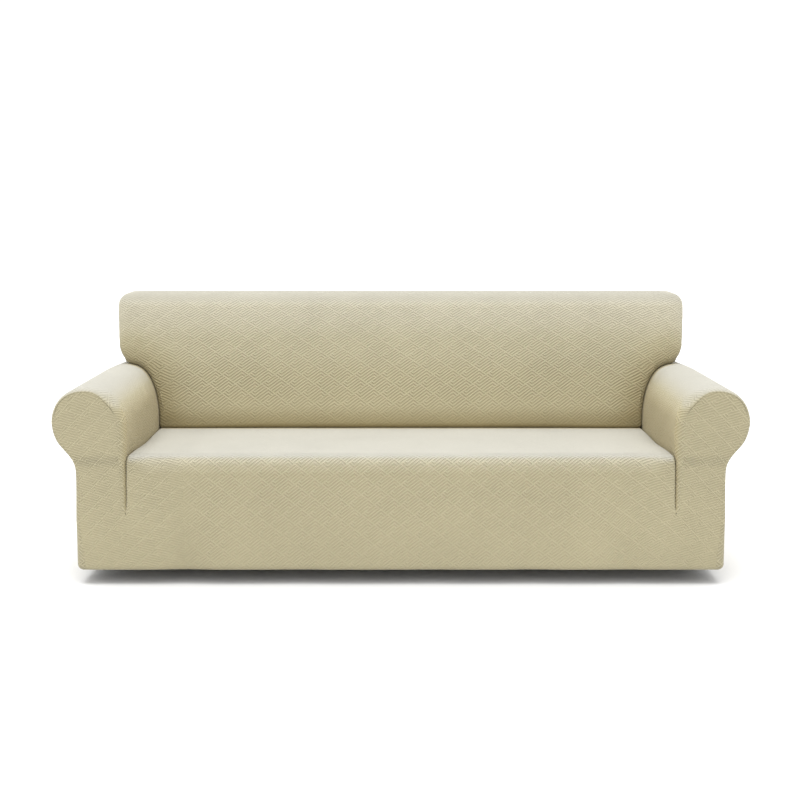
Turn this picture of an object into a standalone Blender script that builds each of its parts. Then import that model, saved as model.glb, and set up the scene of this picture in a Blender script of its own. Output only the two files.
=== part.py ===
"""Fitted stretch cover for a three-seat sofa with rolled arms, as it sits on the sofa.

Five sewn panels, each a closed sheet of cloth with its true draped shape:
  front_panel         hem, skirt, both arm fronts, the seat's front edge and the seat's deck
  arm_panel_right     outer side, roll and inner side of an arm; arm_panel_left is its mirror image
  back_panel          inside back with the two ears over the arms, and the top
  outside_back_panel  the plain rear

Metres, +Z up; the front looks along -Y.  Sizes are measured from the floor that the sofa stands
on, from the plane of the arm fronts and from the middle.  The empty "sofa_top" then puts the
world's origin under the middle of the back's top, where the sofa carries the cover.

Edges and outlines are lists of rims.  A rim is a point of an outline with its outward normal and
the radius with which the cloth turns there from the face into the side.
"""

import math
from collections import namedtuple

import bmesh
import bpy

QUARTER = math.pi / 2

# --- cloth -----------------------------------------------------------------------------------
CLOTH = 0.003  # thickness of the knit with its raised ribs
GAP = 0.0003  # between two panels at a seam
TUCK_CLEAR = 0.0022  # between the two layers that follow the roll under the ear and in the tuck
CORNER_CLEAR = 0.001  # beside the corner where the outside back meets both arm and ear
SEAM_IN = 0.002  # the seam runs this far inside the rounded edge, on the flat face
TUCK = 0.060  # cloth pushed into each crevice

# --- hem -------------------------------------------------------------------------------------
HEM_Z = 0.047  # lowest point of the cover
HEM_CURL = 0.016  # radius with which the hem turns under the sofa
HEM_LIP = 0.008  # flat of the hem inside that curl

# --- arms ------------------------------------------------------------------------------------
BASE_HALF = 1.036  # middle to the outer wall
NECK_Z = 0.370  # the outer wall leaves the upright here ...
NECK_PULL = 0.036  # ... on a curve with handles of this length
ROLL_X, ROLL_Z = 0.983, 0.520  # middle of the roll
ROLL_A, ROLL_B = 0.117, 0.113  # half width and half height of the roll
ROLL_START = math.radians(-38)  # where the neck meets the roll

# --- radii of the arm's front and rear edges -----------------------------------------------------
HEM_CORNER = 0.028  # the upright corners at the hem ...
WALL_CORNER = 0.012  # ... from half the skirt's height up
ROLL_CORNER = 0.0065  # front edge of the roll
CORNER_SOFT_Z, CORNER_TIGHT_Z = 0.22, 0.42  # heights where the last two are reached

# --- seat ------------------------------------------------------------------------------------
SEAT_HALF = 0.863  # middle to the tuck beside the seat
SEAT_EDGE = 0.010  # radius of the seat's long side edges
NOSE = 0.029  # radius of the seat's front edge
NOSE_TOP_Z = 0.421
CREASE_Y, CREASE_Z = 0.580, 0.411  # where seat and back meet
DECK_CROWN = 0.005  # the deck stands this much higher in its middle
SLIT_FOOT_Z = 0.2285  # the slit between arm front and seat ends here
TUCK_FRONT_Z = 0.262  # foot of the tuck beside the seat, at the front ...
TUCK_FOOT_Z = 0.350  # ... and from TUCK inwards

# --- back ------------------------------------------------------------------------------------
DEPTH = 0.870  # arm fronts to outside back
TOP_Z = 0.887
BACK_LEAN = 0.095  # how far the face leans back over its height
BACK_BELLY = 0.013  # how far it swells forward half way up
EAR_HALF = 1.032  # middle to the ear's upright side
EAR_FOOT = 0.070  # radius of the ear's lower corner at its front; it is tight at the rear
EAR_TIGHTENS_Y = (0.69, 0.85)  # between these depths the one becomes the other
TOP_CORNER = 0.056  # radius of the two top corners and of the long top edge
CREASE_RIM = 0.020  # roundings of the face towards seat, inner corner and arm
CREASE_CORNER = 0.012
WALL_RIM = 0.018
REAR_TIGHTER = 0.0045  # the rear edges' radii are this much smaller than the outline's corners
TOP_SHOULDER_X = 0.80  # the face's upright lines meet the top evenly spaced from here in and out

MOUNT_Y = 0.765  # depth of the middle of the back's top

# --- numbers of steps --------------------------------------------------------------------------
HEM_STEPS = 3
NECK_STEPS = 4
BELOW_ROLL_STEPS = 3
ROLL_STEPS = 14  # over the top half of the roll, from its outer to its inner side
ROLL_TO_REAR = 6  # so many of them reach the outside back; the others end under the ear
RIM_STEPS = 2
BACK_RIM_STEPS = 3
SEAT_COLUMNS = 12
NOSE_STEPS = 4
FRONT_COLUMNS = 4
CREASE_STEPS, INNER_CORNER_STEPS, WALL_STEPS, BACK_ROLL_STEPS = 6, 2, 2, 8
EAR_STEPS, SIDE_STEPS, TOP_CORNER_STEPS = 4, 5, 3
BAND_STEPS = 5
OUTSIDE_COLUMNS = 6

SKIRT_ROW_Z = 0.135
SLIT_ROWS_Z = (SLIT_FOOT_Z, 0.245, TUCK_FRONT_Z, 0.315)
SLIT_TAIL_Z = (0.245, 0.2325)  # the arm's cloth narrows down to the second beside the slit
DECK_ROWS_Y = (0.10, 0.22, 0.35, 0.47, CREASE_Y, CREASE_Y + TUCK)
ARM_COLUMNS = (0.03, 0.08, 0.20, 0.35, 0.52, 0.70, 0.86, 1.0)

# --- soft folds that draw the skirt in, a row for each -------------------------------------------
Fold = namedtuple("Fold", "x half_width depth top_z")
SKIRT_FOLDS = (
    Fold(x=-0.690, half_width=0.110, depth=0.0060, top_z=0.40),
    Fold(x=-0.330, half_width=0.120, depth=0.0030, top_z=0.26),
    Fold(x=0.090, half_width=0.140, depth=0.0025, top_z=0.22),
    Fold(x=0.420, half_width=0.110, depth=0.0035, top_z=0.28),
    Fold(x=0.720, half_width=0.090, depth=0.0030, top_z=0.34),
)

CREAM = (0.66, 0.61, 0.44, 1.0)  # linear
KNIT_ROUGHNESS = 0.92

Rim = namedtuple("Rim", "x z nx nz radius inset full", defaults=(0.0, QUARTER))


def blend(a, b, t):
    return a + (b - a) * t


def smooth(t):
    t = min(1.0, max(0.0, t))
    return t * t * (3 - 2 * t)


def spread(a, b, steps):
    """steps + 1 values from a to b."""
    return [blend(a, b, i / steps) for i in range(steps + 1)]


# --- rims ----------------------------------------------------------------------------------------


def on_rim(rim, turn):
    """(x, z, depth) of the cloth at a turn, 0 where it leaves the face, a right angle on the side.

    A rim whose full turn is less than a right angle ends there, still on the outline.
    """
    reach = rim.radius - rim.inset
    side = rim.inset + reach * (math.sin(rim.full) - math.sin(turn))
    return (rim.x - rim.nx * side, rim.z - rim.nz * side, rim.radius - reach * math.cos(turn))


def on_face(rim, beyond):
    """(x, z, depth) of a point of the face, so far beyond the end of its rounded rim."""
    reach = rim.radius - rim.inset
    side = rim.inset + reach * math.sin(rim.full) + beyond * rim.full / QUARTER
    return (rim.x - rim.nx * side, rim.z - rim.nz * side, rim.inset)


def turned_edge(rim, steps):
    """The cloth from its seam on the face round the rim to the side."""
    places = [on_face(rim, SEAM_IN - GAP / 2)]
    return places + [on_rim(rim, turn) for turn in spread(0, rim.full, steps)]


def front_radius(z):
    """The arm fronts' edges are softest at the hem and tight on the roll."""
    low = blend(HEM_CORNER, WALL_CORNER, smooth((z - HEM_Z) / (CORNER_SOFT_Z - HEM_Z)))
    tight = smooth((z - CORNER_SOFT_Z) / (CORNER_TIGHT_Z - CORNER_SOFT_Z))
    return blend(low, ROLL_CORNER, tight)


def rear_radius(z):
    return blend(HEM_CORNER, WALL_CORNER, smooth((z - HEM_Z) / (CORNER_SOFT_Z - HEM_Z)))


def at_rear(rims):
    return [rim._replace(radius=rear_radius(rim.z)) for rim in rims]


def arc(x, z, radius, start, end, steps, rim_radius):
    """Rims along an arc whose normals point away from its middle, without the first."""
    rims = []
    for angle in spread(start, end, steps)[1:]:
        nx, nz = math.cos(angle), math.sin(angle)
        rims.append(Rim(x + radius * nx, z + radius * nz, nx, nz, rim_radius))
    return rims


# --- the arm's outline -----------------------------------------------------------------------------


def base_rims():
    """The outer wall from the hem's lip, round the hem's curl and up to below the slit's foot."""
    places = [(HEM_Z, HEM_CURL + HEM_LIP)]
    for turn in spread(QUARTER, 0, HEM_STEPS):
        places.append((HEM_Z + HEM_CURL * (1 - math.sin(turn)), HEM_CURL * (1 - math.cos(turn))))
    places.append((SKIRT_ROW_Z, 0.0))
    return [Rim(BASE_HALF, z, 1.0, 0.0, front_radius(z), inset) for z, inset in places]


def roll_rim(angle, grow=0.0):
    """The roll at an angle that runs from its outer side over its top to its inner side."""
    nx, nz = math.cos(angle) / ROLL_A, math.sin(angle) / ROLL_B
    length = math.hypot(nx, nz)
    nx, nz = nx / length, nz / length
    x = ROLL_X + ROLL_A * math.cos(angle) + grow * nx
    z = ROLL_Z + ROLL_B * math.sin(angle) + grow * nz
    return Rim(x, z, nx, nz, front_radius(z))


def neck_rims():
    """The hollow curve from the upright outer wall out to the roll, without its last point."""
    end = roll_rim(ROLL_START)
    xs = (BASE_HALF, BASE_HALF, end.x - NECK_PULL * -end.nz, end.x)
    zs = (NECK_Z, NECK_Z + NECK_PULL, end.z - NECK_PULL * end.nx, end.z)
    rims = []
    for t in spread(0, 1, NECK_STEPS)[:-1]:
        weights = ((1 - t) ** 3, 3 * t * (1 - t) ** 2, 3 * t * t * (1 - t), t**3)
        slopes = (-((1 - t) ** 2), (1 - t) * (1 - 3 * t), t * (2 - 3 * t), t * t)
        x, z = (sum(w * v for w, v in zip(weights, values)) for values in (xs, zs))
        dx, dz = (sum(s * v for s, v in zip(slopes, values)) for values in (xs, zs))
        length = math.hypot(dx, dz)
        rims.append(Rim(x, z, dz / length, -dx / length, front_radius(z)))
    return rims


def outer_rims():
    """The arm's outer side from the slit's foot up to below the roll's widest point."""
    upright = [Rim(BASE_HALF, z, 1.0, 0.0, front_radius(z)) for z in SLIT_ROWS_Z]
    below = [roll_rim(angle) for angle in spread(ROLL_START, 0, BELOW_ROLL_STEPS)[:-1]]
    return upright + neck_rims() + below


def roll_rims():
    return [roll_rim(angle) for angle in spread(0, math.pi, ROLL_STEPS)]


def inner_wall_x(down):
    """The inner wall leans towards the seat on its way down from the roll to the tuck's foot."""
    return blend(ROLL_X - ROLL_A, SEAT_HALF + GAP / 2, min(1.0, down))


def slit_turn(z):
    """The edges beside the slit lie flat at its foot and are fully turned at the tuck."""
    return QUARTER * smooth((z - SLIT_FOOT_Z) / (TUCK_FRONT_Z - SLIT_FOOT_Z))


def inner_rim(z):
    """The front edge of the arm's inner side at a height."""
    full = slit_turn(z)
    x = inner_wall_x((ROLL_Z - z) / (ROLL_Z - TUCK_FRONT_Z)) if full else SEAT_HALF
    return Rim(x, z, -1.0, 0.0, front_radius(z), full=full)


def tuck_foot_z(y):
    """Foot of the tuck beside the seat: low at the front, level from TUCK inwards."""
    t = min(1.0, max(0.0, (y - WALL_CORNER) / (TUCK - WALL_CORNER)))
    return TUCK_FOOT_Z - (TUCK_FOOT_Z - TUCK_FRONT_Z) * (1 - t) ** 2


# --- meshes ----------------------------------------------------------------------------------------


def add_grid(mesh, rows):
    """Quads over rows of points; seen from outside, columns run to the right and rows upwards."""
    made = [[mesh.verts.new(point) for point in row] for row in rows]
    for low, high in zip(made, made[1:]):
        for i in range(len(low) - 1):
            mesh.faces.new((low[i], low[i + 1], high[i + 1], high[i]))


def weld(mesh):
    """Joins grids that share an edge and closes rows that end in a point."""
    bmesh.ops.remove_doubles(mesh, verts=mesh.verts, dist=2e-5)


def mirror(mesh, verts, faces):
    bmesh.ops.scale(mesh, vec=(-1, 1, 1), verts=verts)
    bmesh.ops.reverse_faces(mesh, faces=faces)


def add_left_half(mesh):
    """Completes a right half whose edge lies on the middle plane."""
    copied = bmesh.ops.duplicate(mesh, geom=mesh.verts[:] + mesh.edges[:] + mesh.faces[:])["geom"]
    verts = [item for item in copied if isinstance(item, bmesh.types.BMVert)]
    faces = [item for item in copied if isinstance(item, bmesh.types.BMFace)]
    mirror(mesh, verts, faces)
    weld(mesh)


# --- front panel -----------------------------------------------------------------------------------


def fold_in(x, z):
    """How far the soft folds draw the skirt in at a place."""
    drawn = 0.0
    for fold in SKIRT_FOLDS:
        across = abs(x - fold.x) / fold.half_width
        if across < 1:
            fade = smooth((fold.top_z - z) / (fold.top_z - HEM_Z))
            drawn += fold.depth * fade * math.cos(across * QUARTER) ** 2
    return drawn


def deck_crown(x, y):
    along = (y - NOSE) / (CREASE_Y - NOSE)
    if not 0 < along < 1:
        return 0.0
    return DECK_CROWN * math.sin(math.pi * along) * (1 - (x / SEAT_HALF) ** 4)


def seat_profile():
    """(y, z, ny, nz) up the riser, over the nose and back along the deck into the tuck."""
    points = [(0.0, z, -1.0, 0.0) for z in SLIT_ROWS_Z]
    for turn in spread(0, QUARTER, NOSE_STEPS):
        ny, nz = -math.cos(turn), math.sin(turn)
        points.append((NOSE + NOSE * ny, NOSE_TOP_Z - NOSE + NOSE * nz, ny, nz))
    for y in DECK_ROWS_Y:
        along = min(1.0, (y - NOSE) / (CREASE_Y - NOSE))
        points.append((y, blend(NOSE_TOP_Z, CREASE_Z, along), 0.0, 1.0))
    return points


def seat_row(y, z, ny, nz):
    """One row from the middle of the seat over its long edge, to where the side's tuck begins."""
    full = slit_turn(z)
    edge = Rim(SEAT_HALF - GAP / 2 if full else SEAT_HALF, z, 1.0, 0.0, SEAT_EDGE, full=full)
    row = [(x, y, z + deck_crown(x, y)) for x in spread(0, on_rim(edge, 0)[0], SEAT_COLUMNS)]
    for turn in spread(0, full, RIM_STEPS)[1:]:
        x, _, depth = on_rim(edge, turn)
        row.append((x, y - ny * depth, z - nz * depth))
    return row


def tuck_foot(row_end, position):
    """Where a seat row ends in the side's tuck.

    position runs from 0, at the tuck's front foot, to 1 on top of the nose; it is below 0 beside
    the open slit, where there is no tuck, and above 1 on the deck.
    """
    x, y, z = row_end
    if position < 0:
        return row_end
    if position <= 1:
        y = blend(WALL_CORNER, NOSE + SEAT_EDGE, position)
    return (x, y, tuck_foot_z(y))


def seat_rows():
    profile = seat_profile()
    first = SLIT_ROWS_Z.index(TUCK_FRONT_Z)
    top = len(SLIT_ROWS_Z) + NOSE_STEPS
    rows = []
    for i, point in enumerate(profile):
        row = seat_row(*point)
        rows.append(row + [tuck_foot(row[-1], (i - first) / (top - first))])
    return rows


def skirt_row(rim):
    """One row below the slits, from the middle to the seam at the outer corner."""
    end = on_face(rim, SEAM_IN + GAP / 2)[0]
    xs = spread(0, SEAT_HALF, SEAT_COLUMNS) + spread(SEAT_HALF, end, FRONT_COLUMNS)[1:]
    return [(x, rim.inset, rim.z) for x in xs]


def arm_front_row(inner, outer):
    """One row across an arm's front, between the seams along its two sides."""
    x0, z0, y0 = on_face(inner, SEAM_IN + GAP / 2)
    x1, z1, y1 = on_face(outer, SEAM_IN + GAP / 2)
    steps = spread(0, 1, FRONT_COLUMNS)
    return [(blend(x0, x1, t), blend(y0, y1, t), blend(z0, z1, t)) for t in steps]


def front_panel_mesh():
    mesh = bmesh.new()
    outer = outer_rims()
    inner = [inner_rim(rim.z) for rim in outer]
    roll = roll_rims()
    half = ROLL_STEPS // 2
    outer_side = outer + roll[: half + 1]
    inner_side = inner + roll[: half - 1 : -1]
    add_grid(mesh, seat_rows())
    add_grid(mesh, [skirt_row(rim) for rim in base_rims() + outer[:1]])
    add_grid(mesh, [arm_front_row(*pair) for pair in zip(inner_side, outer_side)])
    add_left_half(mesh)
    for vert in mesh.verts:
        vert.co.y += fold_in(vert.co.x, vert.co.z)
    return mesh


# --- arm panels ------------------------------------------------------------------------------------


def back_face_y(z):
    """The back's face leans back and swells a little on its way up."""
    t = (z - CREASE_Z) / (TOP_Z - CREASE_Z)
    belly = BACK_BELLY * math.sin(math.pi * min(1.0, max(0.0, t)))
    return CREASE_Y + BACK_LEAN * t - belly


def tuck_end_y(z):
    return back_face_y(z) + TUCK


def arm_front_edge(rim):
    return [(x, depth, z) for x, z, depth in turned_edge(rim, RIM_STEPS)]


def arm_rear_edge(rim):
    return [(x, DEPTH - depth, z) for x, z, depth in reversed(turned_edge(rim, RIM_STEPS))]


def arm_row(rim, end):
    """One row of the outer side or the roll, from the front seam back to a depth."""
    x, z, start = on_rim(rim, rim.full)
    return arm_front_edge(rim) + [(x, blend(start, end, t), z) for t in ARM_COLUMNS]


def inner_wall_row(z):
    """One row of the inner side: at this height in front, and level with the tuck's foot inside."""
    rim = inner_rim(z)
    down = (ROLL_Z - z) / (ROLL_Z - TUCK_FRONT_Z)
    end = tuck_end_y(blend(ROLL_Z, TUCK_FOOT_Z, down))
    row = arm_front_edge(rim)
    for t in ARM_COLUMNS:
        y = blend(rim.radius, end, t)
        row.append((rim.x, y, blend(ROLL_Z, tuck_foot_z(y), down)))
    return row


def arm_panel_mesh():
    """The right arm's panel, its rows from the outer hem over the roll down to the inner tuck."""
    mesh = bmesh.new()
    roll = roll_rims()
    to_rear = base_rims() + outer_rims() + roll[: ROLL_TO_REAR + 1]
    rows = [arm_row(rim, DEPTH - rear_radius(rim.z)) for rim in to_rear]
    under_ear = roll[ROLL_TO_REAR + 1 :]
    for i, rim in enumerate(under_ear, 1):
        into_tuck = smooth(2 * i / len(under_ear))
        rows.append(arm_row(rim, blend(DEPTH - WALL_CORNER, tuck_end_y(rim.z), into_tuck)))
    inner_heights = [rim.z for rim in reversed(outer_rims()) if rim.z >= TUCK_FRONT_Z]
    add_grid(mesh, rows + [inner_wall_row(z) for z in inner_heights])
    add_grid(mesh, [arm_rear_edge(rim) for rim in at_rear(to_rear)])
    add_grid(mesh, [arm_front_edge(inner_rim(z)) for z in (TUCK_FRONT_Z, *SLIT_TAIL_Z)])
    weld(mesh)
    return mesh


def left_arm_panel_mesh():
    mesh = arm_panel_mesh()
    mirror(mesh, mesh.verts[:], mesh.faces[:])
    return mesh


# --- back panel --------------------------------------------------------------------------------------


def ear_contact(foot):
    """Roll angle at which the ear's lower corner, of radius foot, touches the roll."""
    low, high = QUARTER / 2, 2 * QUARTER
    for _ in range(40):
        angle = (low + high) / 2
        if roll_rim(angle, TUCK_CLEAR + foot).x > EAR_HALF - foot:
            low = angle
        else:
            high = angle
    return low


def back_outline(foot):
    """Half the outline: out along the crease, up the arm, over the roll, round the ear, and in.

    foot is the radius of the ear's lower corner, which is also the rounding of the cloth there.
    """
    corner_z = CREASE_Z + GAP + CREASE_CORNER
    down = (ROLL_Z - corner_z) / (ROLL_Z - TUCK_FOOT_Z)
    corner_x = inner_wall_x(down) - TUCK_CLEAR - CREASE_CORNER
    rims = []
    for t in spread(0, 1, CREASE_STEPS):
        radius = blend(CREASE_RIM, CREASE_CORNER, smooth(2 * t - 1))
        rims.append(Rim(t * corner_x, CREASE_Z + GAP, 0.0, -1.0, radius))
    rims += arc(corner_x, corner_z, CREASE_CORNER, -QUARTER, 0, INNER_CORNER_STEPS, CREASE_CORNER)
    for t in spread(0, 1, WALL_STEPS)[1:]:
        x = inner_wall_x(down * (1 - t)) - TUCK_CLEAR
        rims.append(Rim(x, blend(corner_z, ROLL_Z, t), 1.0, 0.0, blend(CREASE_CORNER, WALL_RIM, t)))
    contact = ear_contact(foot)
    for t in spread(0, 1, BACK_ROLL_STEPS)[1:]:
        roll = roll_rim(blend(math.pi, contact, t), TUCK_CLEAR)
        radius = blend(WALL_RIM, foot, smooth(t))
        rims.append(roll._replace(nx=-roll.nx, nz=-roll.nz, radius=radius))
    touching = rims[-1]
    ear_x, ear_z = touching.x - foot * touching.nx, touching.z - foot * touching.nz
    start = math.atan2(touching.nz, touching.nx)
    rims += arc(ear_x, ear_z, foot, start, 0, EAR_STEPS, foot)
    for t in spread(0, 1, SIDE_STEPS)[1:]:
        z = blend(ear_z, TOP_Z - TOP_CORNER, t)
        rims.append(Rim(EAR_HALF, z, 1.0, 0.0, blend(foot, TOP_CORNER, t)))
    top_x, top_z = EAR_HALF - TOP_CORNER, TOP_Z - TOP_CORNER
    rims += arc(top_x, top_z, TOP_CORNER, 0, QUARTER, TOP_CORNER_STEPS, TOP_CORNER)
    shoulder_steps = INNER_CORNER_STEPS + WALL_STEPS + BACK_ROLL_STEPS
    xs = spread(top_x, TOP_SHOULDER_X, shoulder_steps) + spread(TOP_SHOULDER_X, 0, CREASE_STEPS)[1:]
    return rims + [Rim(x, TOP_Z, 0.0, 1.0, TOP_CORNER) for x in xs[1:]]


# the outline's points up to the one where the ear touches the roll
TOUCHING = CREASE_STEPS + INNER_CORNER_STEPS + WALL_STEPS + BACK_ROLL_STEPS


def ear_foot_rear():
    """Radius with which the ear stands on the last of the roll's rows that reach the rear."""
    roll = roll_rims()[ROLL_TO_REAR]
    return (EAR_HALF - roll.x - TUCK_CLEAR * roll.nx) / (1 + roll.nx)


def ear_foot(y):
    """The ear's lower corner is soft in front and tight at the outside back."""
    start, end = EAR_TIGHTENS_Y
    return blend(EAR_FOOT, ear_foot_rear(), smooth((y - start) / (end - start)))


def rear_outline():
    rims = back_outline(ear_foot_rear())
    return [rim._replace(radius=rim.radius - REAR_TIGHTER) for rim in rims]


def back_rim_row(index, rim, stop):
    """The face's rounded edge at one outline point, and the cloth from there back to a depth."""
    row = []
    for turn in spread(0, QUARTER, BACK_RIM_STEPS):
        x, z, depth = on_rim(rim, turn)
        row.append((x, back_face_y(z) + depth, z))
    for y in spread(row[-1][1], stop, BAND_STEPS)[1:]:
        place = back_outline(ear_foot(y))[index]
        row.append((place.x, y, place.z))
    return row


def back_stop(index, rim, rear):
    """Depth at which the cloth ends in the tuck, or turns into the rear."""
    if index >= TOUCHING:
        return DEPTH - rear.radius
    along_roll = (index - TOUCHING) / BACK_ROLL_STEPS + 1
    return blend(tuck_end_y(rim.z), DEPTH - WALL_CORNER, smooth(2 * along_roll - 1))


def face_rows(front):
    """The flat of the face, its upright lines between the outline's lower and upper half."""
    lines = []
    for low, high in zip(front[: TOUCHING + 1], reversed(front[-TOUCHING - 1 :])):
        x0, z0, _ = on_rim(low, 0)
        x1, z1, _ = on_rim(high, 0)
        lines.append([(blend(x0, x1, t), blend(z0, z1, t)) for t in spread(0, 1, SIDE_STEPS)])
    return [[(x, back_face_y(z), z) for x, z in row] for row in zip(*lines)]


def back_panel_mesh():
    mesh = bmesh.new()
    front, rear = back_outline(EAR_FOOT), rear_outline()
    rows = []
    for i, (rim, behind) in enumerate(zip(front, rear)):
        rows.append(back_rim_row(i, rim, back_stop(i, rim, behind)))
    add_grid(mesh, face_rows(front))
    add_grid(mesh, rows)
    add_grid(mesh, [arm_rear_edge(rim) for rim in rear[TOUCHING:]])
    add_left_half(mesh)
    return mesh


# --- outside back --------------------------------------------------------------------------------------


def outside_back_mesh():
    """The flat rear, inside the seams with the two arms and the back."""
    arm = at_rear(base_rims() + outer_rims() + roll_rims()[: ROLL_TO_REAR + 1])
    rear = rear_outline()
    above_arm = TOUCHING + EAR_STEPS
    top_corner = above_arm + SIDE_STEPS
    ear = rear[TOUCHING : TOUCHING + 1] + rear[above_arm : top_corner + 1]
    top = rear[top_corner + TOP_CORNER_STEPS]
    meeting = (arm[-1], ear[0])
    rows = []
    for rim in arm + ear + [top]:
        x, z, depth = on_face(rim, SEAM_IN + GAP / 2)
        if rim in meeting:
            x -= CORNER_CLEAR
        rows.append([(across, DEPTH - depth, z) for across in spread(x, 0, OUTSIDE_COLUMNS)])
    mesh = bmesh.new()
    add_grid(mesh, rows)
    add_left_half(mesh)
    return mesh


# --- objects ---------------------------------------------------------------------------------------------


def cloth_material(name):
    material = bpy.data.materials.new(name)
    material.use_nodes = True
    shader = material.node_tree.nodes["Principled BSDF"]
    shader.inputs["Base Color"].default_value = CREAM
    shader.inputs["Roughness"].default_value = KNIT_ROUGHNESS
    shader.inputs["Metallic"].default_value = 0.0
    return material


def make_panel(name, mesh, parent):
    """One sheet of cloth: the mesh is its outer surface and the thickness lies inside it."""
    data = bpy.data.meshes.new(name)
    mesh.to_mesh(data)
    mesh.free()
    data.shade_smooth()
    data.materials.append(cloth_material(name + "_knit"))
    panel = bpy.data.objects.new(name, data)
    bpy.context.scene.collection.objects.link(panel)
    panel.parent = parent
    thicken = panel.modifiers.new("thickness", "SOLIDIFY")
    thicken.thickness = CLOTH
    thicken.offset = -1.0
    thicken.use_even_offset = True


def main():
    for obj in list(bpy.data.objects):
        bpy.data.objects.remove(obj)
    sofa_top = bpy.data.objects.new("sofa_top", None)
    sofa_top.location = (0.0, -MOUNT_Y, CLOTH - TOP_Z)
    bpy.context.scene.collection.objects.link(sofa_top)
    make_panel("front_panel", front_panel_mesh(), sofa_top)
    make_panel("arm_panel_right", arm_panel_mesh(), sofa_top)
    make_panel("arm_panel_left", left_arm_panel_mesh(), sofa_top)
    make_panel("back_panel", back_panel_mesh(), sofa_top)
    make_panel("outside_back_panel", outside_back_mesh(), sofa_top)


main()
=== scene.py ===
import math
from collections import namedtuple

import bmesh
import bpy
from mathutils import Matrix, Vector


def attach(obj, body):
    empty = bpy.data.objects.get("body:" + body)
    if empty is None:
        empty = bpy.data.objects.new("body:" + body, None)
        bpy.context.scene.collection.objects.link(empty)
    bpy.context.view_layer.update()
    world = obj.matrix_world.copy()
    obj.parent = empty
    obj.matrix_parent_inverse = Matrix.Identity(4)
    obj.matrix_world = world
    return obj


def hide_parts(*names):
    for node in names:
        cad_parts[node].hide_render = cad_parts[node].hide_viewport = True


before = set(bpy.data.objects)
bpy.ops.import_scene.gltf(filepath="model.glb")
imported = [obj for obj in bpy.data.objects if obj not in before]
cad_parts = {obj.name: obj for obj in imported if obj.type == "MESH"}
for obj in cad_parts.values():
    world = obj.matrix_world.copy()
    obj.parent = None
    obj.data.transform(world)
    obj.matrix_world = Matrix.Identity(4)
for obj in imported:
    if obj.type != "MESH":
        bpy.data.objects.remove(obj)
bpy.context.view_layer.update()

# The fitted stretch cover of a three-seat sofa, dressed: five panels of cream knit on the folds of
# their solids, with a raised key-fret lattice, soft folds, sewn arm seams and a pale studio.
#
# Metres, +Z up; the front looks along -Y.  As in the solids, sizes are measured from the floor that
# the sofa stands on, from the plane of the arm fronts and from the middle; SOFA takes them to the
# frame.  A row of a grid is a list of Knots: a point of the cloth's outer face with its place
# (s, t) in the knit, in metres along the cloth, which the fret lattice is laid out in.

QUARTER = math.pi / 2

# --- cloth ---
CLOTH = 0.003
GAP = 0.0001  # between two panels at a seam
TUCK_CLEAR = 0.0004
CORNER_CLEAR = 0.001
SEAM_IN = 0.002
TUCK = 0.060
WELD = 2e-5  # corners of the grids closer than this are one

# --- hem ---
HEM_Z = 0.047
HEM_CURL = 0.016
HEM_LIP = 0.008

# --- arms ---
BASE_HALF = 1.036
NECK_Z = 0.370
NECK_PULL = 0.036
ROLL_X, ROLL_Z = 0.983, 0.520
ROLL_A, ROLL_B = 0.117, 0.113
ROLL_START = math.radians(-38)
HEM_CORNER = 0.028
WALL_CORNER = 0.012
ROLL_CORNER = 0.0065
# at degrees round the roll from its outer side: how far in its front edge is rounded, and by how
# many degrees the cloth bends at the seam there
ROLL_FRONT_IN = ((0.0, 0.005), (35.0, 0.005), (90.0, 0.012), (135.0, 0.024), (180.0, 0.026))
ROLL_FRONT_BEND = ((0.0, 0.0), (30.0, 34.0), (130.0, 42.0), (160.0, 16.0), (180.0, 0.0))
INNER_CORNER = 0.026
CORNER_SOFT_Z, CORNER_TIGHT_Z = 0.22, 0.42

# --- seat ---
SEAT_HALF = 0.863
SEAT_EDGE = 0.010
NOSE = 0.029
NOSE_TOP_Z = 0.421
CREASE_Y, CREASE_Z = 0.580, 0.411
DECK_CROWN = 0.005
SLIT_FOOT_Z = 0.2285
TUCK_FRONT_Z = 0.262
TUCK_FOOT_Z = 0.350

# --- back ---
DEPTH = 0.870
TOP_Z = 0.887
BACK_LEAN = 0.095
BACK_BELLY = 0.013
EAR_HALF = 1.032
EAR_FOOT = 0.070
EAR_TIGHTENS_Y = (0.69, 0.85)
TOP_CORNER = 0.044
EAR_RIM = 0.024
REAR_FOOT_RIM = 0.016
CREASE_RIM = 0.020
CREASE_CORNER = 0.012
WALL_RIM = 0.017
REAR_TIGHTER = 0.0045
TOP_SHOULDER_X = 0.80
MOUNT_Y = 0.765
HALVINGS = 40  # of the angles between which the ear touches the roll

SOFA = Vector((0.0, -MOUNT_Y, CLOTH - TOP_Z))

# --- fineness of the sheets ---
HEM_STEPS = 5
SKIRT_STEPS = 22
SLIT_STEPS = 6
RISER_STEPS = 14
NECK_STEPS = 12
BELOW_ROLL_STEPS = 10
ROLL_STEPS = 56
ROLL_TO_REAR = 24
RIM_STEPS = 8
BACK_RIM_STEPS = 8
SEAT_COLUMNS = 110
NOSE_STEPS = 8
DECK_STEPS = 56
DECK_TUCK_STEPS = 5
FRONT_COLUMNS = 28
SEAM_SHARE = 0.018  # the arm front's narrow first and last column, which carry the seam's line
TUCK_SHARES = (0.3, 1)
ARM_STEPS = 96
CREASE_STEPS, INNER_CORNER_STEPS, WALL_STEPS, BACK_ROLL_STEPS = 100, 3, 12, 24
EAR_STEPS, SIDE_STEPS, TOP_CORNER_STEPS = 12, 52, 8
BAND_STEPS = 12
FOOT_STEPS = 24
OUTSIDE_COLUMNS = 60
TAIL_STEPS = 3

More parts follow.
